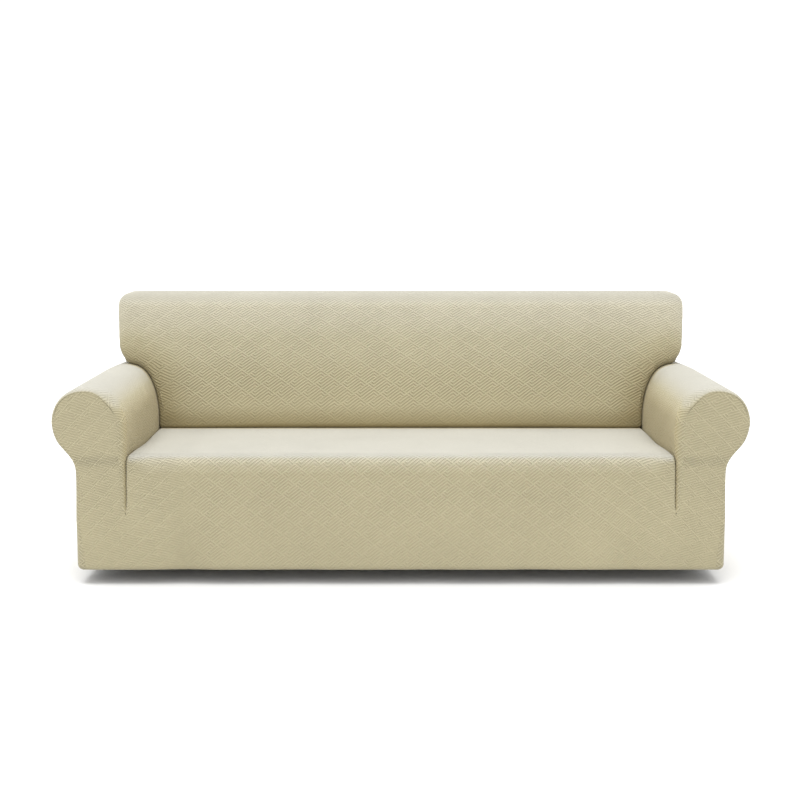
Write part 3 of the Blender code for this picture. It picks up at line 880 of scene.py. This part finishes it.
def lay_knit(mesh, lay):
    places = mesh.loops.layers.uv[KNIT_MAP]
    for face in mesh.faces:
        turned = sum(loop[places].uv.x for loop in face.loops) < lay.turned_at * len(face.loops)
        for loop in face.loops:
            s, t = loop[places].uv
            up = max(0.0, t - CLOSER_FROM)
            loop[places].uv = lay_place(lay, s, t + lay.closer * up * up / 2, turned)


# --- how clear the fret stands, and the painted light and shade on the cloth ---

SHOW_MAP = "show"  # how clear the fret stands
TONE_MAP = "tone"  # x: painted light towards a paler cream, and below 0 painted shade towards a deeper one; y: painted light added to the level, and below 0 painted shade taken from it

# As above, tables are by height, and a pair named for an axis is a stretch along it.
DECK_SHOW, DECK_FROM_Y = 0.5, 2 * NOSE
SKIRT_SHOW, SKIRT_SHOW_Z = (0.42, 0.78), (0.06, 0.32)
NOSE_SHOW = 0.85
CREASE_SHOW, CREASE_SHOW_Z = 0.30, (0.42, 0.57)
TOP_SHOW, TOP_SHOW_Z = 0.60, (0.84, 0.88)
STRETCHED_SHOW, STRETCHED_NEAR = 0.9, 0.024
ARM_SHOW, ROLL_TOP_SHOW = 1.2, 0.55
REAR_SHOW = 0.85
CORNER_BLUR_FADE, CORNER_BLUR_Y = 0.035, (0.69, 0.72)
FOOT_BLUR_X, FOOT_BLUR_Z = (0.93, 0.96), (0.68, 0.71)
# the last of these is painted shade along the line where the knit turns round
TURN_BLUR, TURN_FAINT, TURN_PAINTED_SHADE = 0.034, 0.32, 0.028

# The shares towards the pale and deep creams are painted light and painted shade, and LIT and DIM
# are painted light added to the cloth's level and painted shade taken from it
PAINTED_LIGHT_FROM = 0.05
PAINTED_LIGHT_EDGE = 0.018  # no painted light this close to where the cloth is tucked in
PAINTED_LIGHT_SEAT_HALF = SEAT_HALF + 0.008
DECK_PAINTED_LIGHT_POWER, ROLL_PAINTED_LIGHT_POWER = 1.3, 1.5
# painted shade where the cloth is tucked in
TUCK_PAINTED_SHADE, UNDER_EAR_X = 0.8, (0.97, 1.0)
# the back's painted light and painted shade by height: darker at the crease, lighter towards the top
BACK_PAINTED_LIGHT = ((0.415, -1.0), (0.50, -0.16), (0.58, -0.08), (0.70, 0.03), (0.84, 0.36))
BACK_LIT = (
    (0.425, -0.18),
    (0.500, 0.08),
    (0.600, 0.06),
    (0.720, 0.09),
    (0.800, 0.16),
    (0.845, 0.20),
    (0.875, -0.08),
)
BACK_TOP_PAINTED_LIGHT = 0.60
# a painted highlight band across the seat's nose
NOSE_PAINTED_HIGHLIGHT = (
    (0.387, 0.0),
    (0.393, 0.17),
    (0.401, 0.28),
    (0.407, 0.28),
    (0.412, 0.45),
    (0.417, 0.85),
    (0.421, 1.0),
)
NOSE_LIT = ((0.365, 0.0), (0.386, 0.04), (0.394, 0.20), (0.402, 0.20), (0.413, 0.03), (0.42, 0.0))
# painted shade on the back beside and above the arms
NEAR_ARM_PAINTED_SHADE = 0.65
BESIDE_ARM_DIM, BESIDE_ARM_REACH = 0.18, 0.072
ABOVE_ARM_DIM, ABOVE_ARM_REACH, ABOVE_ARM_X = 0.21, 0.081, (0.88, 0.95)
# on the arms' inner sides a deeper cream of painted shade, lifted by painted light
ARM_INNER_PAINTED_SHADE, ARM_INNER_LIT = 0.75, 0.20
# painted shade low on the skirt, in its fold where the knit turns round, and as a dark line along
# the arm fronts' seams
SKIRT_DIM, SKIRT_DIM_Z, SKIRT_TOP_SHARE = 0.045, 0.25, 0.3
TURN_DIM, TURN_DIM_Z, TURN_DIM_REACH = 0.05, 0.40, 0.09
SEAM_DIM, SEAM_LINE_Y, SEAM_LINE_Z = 0.60, 0.05, (0.545, 0.575)


def near_turn(x, turned_at):
    """1 on the line where the knit turns round, fading to 0 away from it."""
    return math.exp(-(((x - turned_at) / TURN_BLUR) ** 2))


def show_front(x, y, z):
    if y > DECK_FROM_Y:
        return DECK_SHOW
    clear = blend(*SKIRT_SHOW, share_of(SKIRT_SHOW_Z, z))
    clear += NOSE_SHOW * bump((z - NOSE_MIDDLE_Z) / NOSE_REACH)
    return clear * (1 - TURN_FAINT * near_turn(x, FRONT_LAY.turned_at))


def near_arm(x, z, reach):
    """1 on the back where it leans on an arm, fading to 0 away from it."""
    up = max(0.0, z - ROLL_Z) * ROLL_A / ROLL_B
    off = math.hypot(abs(x) - ROLL_X, up) - ROLL_A
    return math.exp(-((off / reach) ** 2))


def round_corner(x, y, z):
    """1 on an ear's rounded corners behind the face, where the knit can't lie flat and blurs."""
    inside_x, inside_z = EAR_HALF - TOP_CORNER - abs(x), TOP_Z - TOP_CORNER - z
    top = 1 - smooth(max(inside_x, inside_z) / CORNER_BLUR_FADE)
    foot = share_of(FOOT_BLUR_X, abs(x)) * (1 - share_of(FOOT_BLUR_Z, z))
    return max(top, foot) * share_of(CORNER_BLUR_Y, y)


def show_back(x, y, z):
    near_crease = blend(CREASE_SHOW, 1.0, share_of(CREASE_SHOW_Z, z))
    near_top = blend(1.0, TOP_SHOW, share_of(TOP_SHOW_Z, z))
    stretched = 1 + STRETCHED_SHOW * near_arm(x, z, STRETCHED_NEAR)
    clear = (1 - TURN_FAINT * near_turn(x, BACK_LAY.turned_at)) * (1 - round_corner(x, y, z))
    return near_crease * near_top * stretched * clear


def show_arm(x, y, z):
    return blend(ARM_SHOW, ROLL_TOP_SHOW, smooth((z - ROLL_Z) / ROLL_B))


def show_rear(x, y, z):
    return REAR_SHOW


def on_seam(vert):
    """1 on the cut edge along the top of an arm's front, where a painted dark line stands for the
    shade in the seam's groove.
    """
    x, y, z = vert.co
    if not vert.is_boundary or y > SEAM_LINE_Y or abs(x) < SEAT_HALF + GAP:
        return 0.0
    return share_of(SEAM_LINE_Z, z)


def facing_up(vert):
    return smooth((vert.normal.z + PAINTED_LIGHT_FROM) / (1 + PAINTED_LIGHT_FROM))


def tone_front(vert):
    """Painted light on the seat's upward faces and a painted highlight band on its nose; painted
    shade where it goes into the tucks, low on the skirt, in the fold where the knit turns, and as a
    dark line along the seams.
    """
    x, y, z = vert.co
    clear_side = smooth((PAINTED_LIGHT_SEAT_HALF - abs(x)) / PAINTED_LIGHT_EDGE)
    clear_rear = smooth((CREASE_Y - y) / PAINTED_LIGHT_EDGE)
    dim = SKIRT_DIM * blend(1.0, SKIRT_TOP_SHARE, smooth(z / SKIRT_DIM_Z))
    lit = -SEAM_DIM * on_seam(vert) - dim * (1 - facing_up(vert))
    lit -= TURN_DIM * (1 - smooth(z / TURN_DIM_Z)) * bump((x - FRONT_LAY.turned_at) / TURN_DIM_REACH)
    lit -= TURN_PAINTED_SHADE * near_turn(x, FRONT_LAY.turned_at)
    painted_light_and_shade = facing_up(vert) ** DECK_PAINTED_LIGHT_POWER
    if y < NOSE:
        inside = smooth((SEAT_HALF - abs(x)) / SLIT_BAND)
        painted_light_and_shade = blend(painted_light_and_shade, between(NOSE_PAINTED_HIGHLIGHT, z), inside)
        lit += between(NOSE_LIT, z) * inside
    free = clear_side * clear_rear
    return free * painted_light_and_shade - TUCK_PAINTED_SHADE * (1 - free) * facing_up(vert), lit


def tone_arm(vert):
    """Painted light on top of the roll; down its inner side a deeper cream of painted shade lifted
    in level by painted light; painted shade where it is tucked in; and a painted dark line along the
    seam.
    """
    inwards = max(0.0, -vert.normal.x * math.copysign(1.0, vert.co.x)) ** 2
    inner = smooth((ROLL_X - abs(vert.co.x)) / ROLL_A) * inwards
    behind_face = 1 - smooth((back_face_y(vert.co.z) - vert.co.y) / PAINTED_LIGHT_EDGE)
    tucked = behind_face * (1 - share_of(UNDER_EAR_X, abs(vert.co.x)))
    painted_light_and_shade = blend(facing_up(vert) ** ROLL_PAINTED_LIGHT_POWER - ARM_INNER_PAINTED_SHADE * inner, -TUCK_PAINTED_SHADE, tucked)
    return painted_light_and_shade, ARM_INNER_LIT * inner - SEAM_DIM * on_seam(vert)


def tone_back(vert):
    """Painted light towards the top and on faces turned up, painted shade at the crease, beside the
    arms and along the line where the knit turns round.
    """
    x, y, z = vert.co
    up = BACK_TOP_PAINTED_LIGHT * facing_up(vert)
    above = share_of(ABOVE_ARM_X, abs(x))
    near = near_arm(x, z, blend(BESIDE_ARM_REACH, ABOVE_ARM_REACH, above))
    dim = blend(BESIDE_ARM_DIM, ABOVE_ARM_DIM, above) * near
    painted_light_and_shade = up + (1 - up) * between(BACK_PAINTED_LIGHT, z) - NEAR_ARM_PAINTED_SHADE * near
    return painted_light_and_shade, between(BACK_LIT, z) - dim - TURN_PAINTED_SHADE * near_turn(x, BACK_LAY.turned_at)


# painted light on the rear's faces that turn up
def tone_rear(vert):
    return facing_up(vert), 0.0


def mark_cloth(mesh, show, tone):
    mesh.normal_update()
    shows = mesh.loops.layers.uv.new(SHOW_MAP)
    tones = mesh.loops.layers.uv.new(TONE_MAP)
    for face in mesh.faces:
        for loop in face.loops:
            loop[shows].uv = (show(*loop.vert.co), 0.0)
            loop[tones].uv = tone(loop.vert)


# --- knit ---

FRET_UNITS = 12  # each side of the repeat in lines, grooves and ribs by turns
# the grooves of half a repeat as (u, v) from, to; the other half is the same turned round
FRET_GROOVES = (
    ((1, 1), (1, 5)),
    ((1, 5), (11, 5)),
    ((3, 1), (3, 3)),
    ((3, 3), (11, 3)),
    ((5, 1), (11, 1)),
)
RIB_FROM, RIB_FULL = 0.15, 0.85  # in units from a groove's line

CREAM = (0.415, 0.374, 0.246, 1.0)
# the groove cream is painted shade in the fret's grooves
GROOVE_SHADE_CREAM = (0.330, 0.294, 0.186, 1.0)
# the pale cream is painted light, for faces turned up to the light
PAINTED_LIGHT_CREAM = (0.415, 0.402, 0.350, 1.0)
# the deep cream is painted shade, for creases, tucks and the arms' inner sides
PAINTED_SHADE_CREAM = (0.345, 0.285, 0.150, 1.0)

# noises over the cloth, per metre, and how much each lightens it
Noise = namedtuple("Noise", "scale detail lightens")
FUZZ = Noise(420.0, 3.0, 0.20)
MOTTLE = Noise(60.0, 4.0, 0.12)
PATCHES = Noise(9.0, 2.0, 0.0)
SHADES = Noise(2.6, 2.0, 0.16)
NOISE_ROUGHNESS = 0.6
LEVEL = 0.76  # how light the cloth is without them
PATCH_LEAST, PATCH_MORE = 0.55, 0.9  # the patches make the fret stand less or more clear

RELIEF = 0.0023
FUZZ_RELIEF = 0.35  # of the fret's own
KNIT_SURFACE = {
    "Roughness": 0.92,
    "Specular IOR Level": 0.2,
    "Sheen Weight": 0.2,
    "Sheen Roughness": 0.45,
    "Sheen Tint": (1.0, 0.99, 0.95, 1.0),
}


# where the mix node has its first input and its output for a kind of value
MIX_SOCKETS = {"VECTOR": (4, 1), "RGBA": (6, 2)}


class Shader:
    """Adds nodes to a material and wires them as it goes."""

    def __init__(self, tree):
        self.tree = tree

    def add(self, kind, inputs=(), **settings):
        node = self.tree.nodes.new(kind)
        for name, value in settings.items():
            setattr(node, name, value)
        for key, value in dict(inputs).items():
            if isinstance(value, bpy.types.NodeSocket):
                self.tree.links.new(value, node.inputs[key])
            else:
                node.inputs[key].default_value = value
        return node

    def math(self, operation, a, b):
        return self.add("ShaderNodeMath", {0: a, 1: b}, operation=operation).outputs[0]

    def vector(self, operation, a, b=(0.0, 0.0, 0.0)):
        node = self.add("ShaderNodeVectorMath", {0: a, 1: b}, operation=operation)
        return node.outputs["Value" if operation == "DOT_PRODUCT" else "Vector"]

    def uv_parts(self, name):
        place = self.add("ShaderNodeUVMap", uv_map=name).outputs[0]
        parts = self.add("ShaderNodeSeparateXYZ", {0: place})
        return parts.outputs["X"], parts.outputs["Y"]

    def mix(self, share, a, b, kind="RGBA"):
        """Between two colours or vectors; a share beyond 0 or 1 goes no farther than they do."""
        first, out = MIX_SOCKETS[kind]
        node = self.add("ShaderNodeMix", {0: share, first: a, first + 1: b}, data_type=kind)
        return node.outputs[out]

    def noise(self, where, kind):
        inputs = {"Scale": kind.scale, "Detail": kind.detail, "Roughness": NOISE_ROUGHNESS}
        return self.add("ShaderNodeTexNoise", {"Vector": where, **inputs}).outputs["Fac"]


def fret_height(shader, place):
    """1 on the ribs and 0 in the grooves, from the place in repeats of the fret."""
    u = shader.vector("DOT_PRODUCT", place, (1.0, 1.0, 0.0))
    v = shader.vector("DOT_PRODUCT", place, (1.0, -1.0, 0.0))
    cell = shader.add("ShaderNodeCombineXYZ", {"X": u, "Y": v}).outputs[0]
    units = (float(FRET_UNITS),) * 3
    cell = shader.vector("MULTIPLY", shader.vector("FRACTION", cell), units)
    turned = shader.vector("SUBTRACT", units, cell)
    lower = shader.add("ShaderNodeSeparateXYZ", {0: cell}).outputs["Y"]
    half = shader.math("GREATER_THAN", lower, FRET_UNITS / 2)
    cell = shader.mix(half, cell, turned, "VECTOR")
    nearest = None
    for (u0, v0), (u1, v1) in FRET_GROOVES:
        middle = ((u0 + u1) / 2, (v0 + v1) / 2, 0.0)
        reach = ((u1 - u0) / 2, (v1 - v0) / 2, 1.0)
        off = shader.vector("ABSOLUTE", shader.vector("SUBTRACT", cell, middle))
        off = shader.add("ShaderNodeSeparateXYZ", {0: shader.vector("SUBTRACT", off, reach)})
        distance = shader.math("MAXIMUM", off.outputs["X"], off.outputs["Y"])
        nearest = distance if nearest is None else shader.math("MINIMUM", nearest, distance)
    step = {"Value": nearest, "From Min": RIB_FROM, "From Max": RIB_FULL}
    return shader.add("ShaderNodeMapRange", step, interpolation_type="SMOOTHSTEP").outputs[0]


def knit_material():
    material = bpy.data.materials.new("cream_fret_knit")
    material.use_nodes = True
    shader = Shader(material.node_tree)
    surface = material.node_tree.nodes["Principled BSDF"]
    place = shader.add("ShaderNodeUVMap", uv_map=KNIT_MAP).outputs[0]
    ribs = fret_height(shader, place)
    show = shader.uv_parts(SHOW_MAP)[0]
    painted_light_and_shade, lit = shader.uv_parts(TONE_MAP)
    where = shader.add("ShaderNodeTexCoord").outputs["Object"]
    fuzz, mottle, patches, shades = (
        shader.noise(where, kind) for kind in (FUZZ, MOTTLE, PATCHES, SHADES)
    )

    patchy = shader.math("ADD", shader.math("MULTIPLY", patches, PATCH_MORE), PATCH_LEAST)
    clear = shader.math("MULTIPLY", show, patchy)
    stands = shader.math("MULTIPLY", shader.math("SUBTRACT", ribs, 0.5), clear)

    # the grooves take painted shade
    colour = shader.mix(shader.math("ADD", stands, 0.5), GROOVE_SHADE_CREAM, CREAM)
    # painted light draws the colour towards the paler cream
    colour = shader.mix(painted_light_and_shade, colour, PAINTED_LIGHT_CREAM)
    # painted shade, where the share is below 0, draws the colour towards the deeper cream
    colour = shader.mix(shader.math("MULTIPLY", painted_light_and_shade, -1.0), colour, PAINTED_SHADE_CREAM)
    # the level adds painted light and takes painted shade from the tone map, and the noises vary it
    # at random
    level = shader.math("ADD", lit, LEVEL)
    for noise, kind in ((fuzz, FUZZ), (mottle, MOTTLE), (shades, SHADES)):
        level = shader.math("ADD", level, shader.math("MULTIPLY", noise, kind.lightens))
    painted_colour = shader.add("ShaderNodeVectorMath", {0: colour, "Scale": level}, operation="SCALE")
    shader.tree.links.new(painted_colour.outputs[0], surface.inputs["Base Color"])

    relief = shader.math("ADD", stands, shader.math("MULTIPLY", fuzz, FUZZ_RELIEF))
    raised = shader.add("ShaderNodeBump", {"Height": relief, "Distance": RELIEF, "Strength": 1.0})
    shader.tree.links.new(raised.outputs[0], surface.inputs["Normal"])
    for name, value in KNIT_SURFACE.items():
        surface.inputs[name].default_value = value
    return material


# --- pieces ---

ROOT = "root"
STRETCH = 1.12  # the sofa stretches the cut cloth to this much more area
SHARP = math.radians(50)


def thicken(obj):
    """Gives the sheet its thickness inside its outer face, with crisp cut edges."""
    solid = obj.modifiers.new("thickness", "SOLIDIFY")
    solid.thickness = CLOTH
    solid.offset = -1.0
    bpy.context.view_layer.update()
    thick = bpy.data.meshes.new_from_object(obj.evaluated_get(bpy.context.evaluated_depsgraph_get()))
    obj.modifiers.clear()
    obj.data = thick
    thick.shade_smooth()
    thick.set_sharp_from_angle(angle=SHARP)


def make_piece(panel, mesh, material):
    """One panel of cloth that stands for its node."""
    area = sum(face.calc_area() for face in mesh.faces) / STRETCH
    data = bpy.data.meshes.new(panel.name)
    mesh.to_mesh(data)
    mesh.free()
    data.materials.append(material)
    obj = bpy.data.objects.new(panel.name, data)
    bpy.context.scene.collection.objects.link(obj)
    obj.location = SOFA
    thicken(obj)
    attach(obj, ROOT)
    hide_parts(panel.node)


def settled_front():
    mesh = front_panel()
    draw_skirt_in(mesh)
    settle_seat(mesh)
    return mesh


# flat is the rectangle round the panel when it is unrolled
Panel = namedtuple("Panel", "name node make flat lay show tone")
PANELS = (
    Panel(
        "front_cloth", "front_panel", settled_front, (2.10, 1.55), FRONT_LAY, show_front, tone_front
    ),
    Panel(
        "arm_cloth_right", "arm_panel_right", arm_panel, (0.86, 1.25), ARM_LAY, show_arm, tone_arm
    ),
    Panel(
        "arm_cloth_left", "arm_panel_left", left_arm_panel, (0.86, 1.25), ARM_LAY, show_arm, tone_arm
    ),
    Panel("back_cloth", "back_panel", back_panel, (2.40, 0.90), BACK_LAY, show_back, tone_back),
    Panel(
        "outside_back_cloth",
        "outside_back_panel",
        outside_back,
        (2.10, 0.82),
        REAR_LAY,
        show_rear,
        tone_rear,
    ),
)


def make_cover():
    knit = knit_material()
    for panel in PANELS:
        mesh = panel.make()
        lay_knit(mesh, panel.lay)
        mark_cloth(mesh, panel.show, panel.tone)
        settle_cover(mesh)
        make_piece(panel, mesh, knit)


# --- studio ---

EYE = Vector((-0.0025, -4.0354, 1.2198))  # the camera, in the sofa's own sizes
FOCAL_MM, SENSOR_MM, PICTURE_PX = 58.5, 36.0, 800
HORIZON_PX = 199.3  # how far above the picture's middle the horizon would be
LOOK_DOWN = math.atan(HORIZON_PX / (FOCAL_MM / SENSOR_MM * PICTURE_PX))
WHITE = (1.0, 1.0, 1.0, 1.0)
SKY_STRENGTH = 1.12
SUN_STRENGTH, SUN_SOFTNESS = 2.6, math.radians(50)
SUN_DIRECTION = (0.05, 0.03, -1.0)
FRONT_STRENGTH, FRONT_SOFTNESS = 0.42, math.radians(80)
FRONT_DIRECTION = (0.0, 1.0, -0.75)
FLOOR_HALF = 40.0
FLOOR_SURFACE = {
    "Base Color": (0.76, 0.76, 0.76, 1.0),
    "Roughness": 0.9,
    "Specular IOR Level": 0.1,
}


def make_camera():
    data = bpy.data.cameras.new("camera")
    data.lens = FOCAL_MM
    data.sensor_width = SENSOR_MM
    camera = bpy.data.objects.new("camera", data)
    camera.location = EYE + SOFA
    camera.rotation_euler = (QUARTER - LOOK_DOWN, 0.0, 0.0)
    bpy.context.scene.collection.objects.link(camera)
    bpy.context.scene.camera = camera


def add_sun(name, strength, softness, direction):
    """One of the studio's wide lights, so soft that it leaves no edges."""
    data = bpy.data.lights.new(name, "SUN")
    data.energy = strength
    data.angle = softness
    light = bpy.data.objects.new(name, data)
    light.rotation_euler = Vector(direction).to_track_quat("-Z", "Y").to_euler()
    bpy.context.scene.collection.objects.link(light)


def make_floor():
    mesh = bmesh.new()
    bmesh.ops.create_grid(mesh, x_segments=1, y_segments=1, size=FLOOR_HALF)
    data = bpy.data.meshes.new("studio_floor")
    mesh.to_mesh(data)
    mesh.free()
    floor = bpy.data.objects.new("studio_floor", data)
    floor.location = (0.0, 0.0, SOFA.z)
    material = bpy.data.materials.new("pale_floor")
    material.use_nodes = True
    surface = material.node_tree.nodes["Principled BSDF"]
    for name, value in FLOOR_SURFACE.items():
        surface.inputs[name].default_value = value
    data.materials.append(material)
    bpy.context.scene.collection.objects.link(floor)


def make_studio():
    scene = bpy.context.scene
    scene.view_settings.view_transform = "Standard"
    world = bpy.data.worlds.new("studio")
    world.use_nodes = True
    background = world.node_tree.nodes["Background"]
    background.inputs["Color"].default_value = WHITE
    background.inputs["Strength"].default_value = SKY_STRENGTH
    scene.world = world
    make_floor()
    add_sun("overhead", SUN_STRENGTH, SUN_SOFTNESS, SUN_DIRECTION)
    add_sun("front", FRONT_STRENGTH, FRONT_SOFTNESS, FRONT_DIRECTION)
    make_camera()


make_cover()
make_studio()
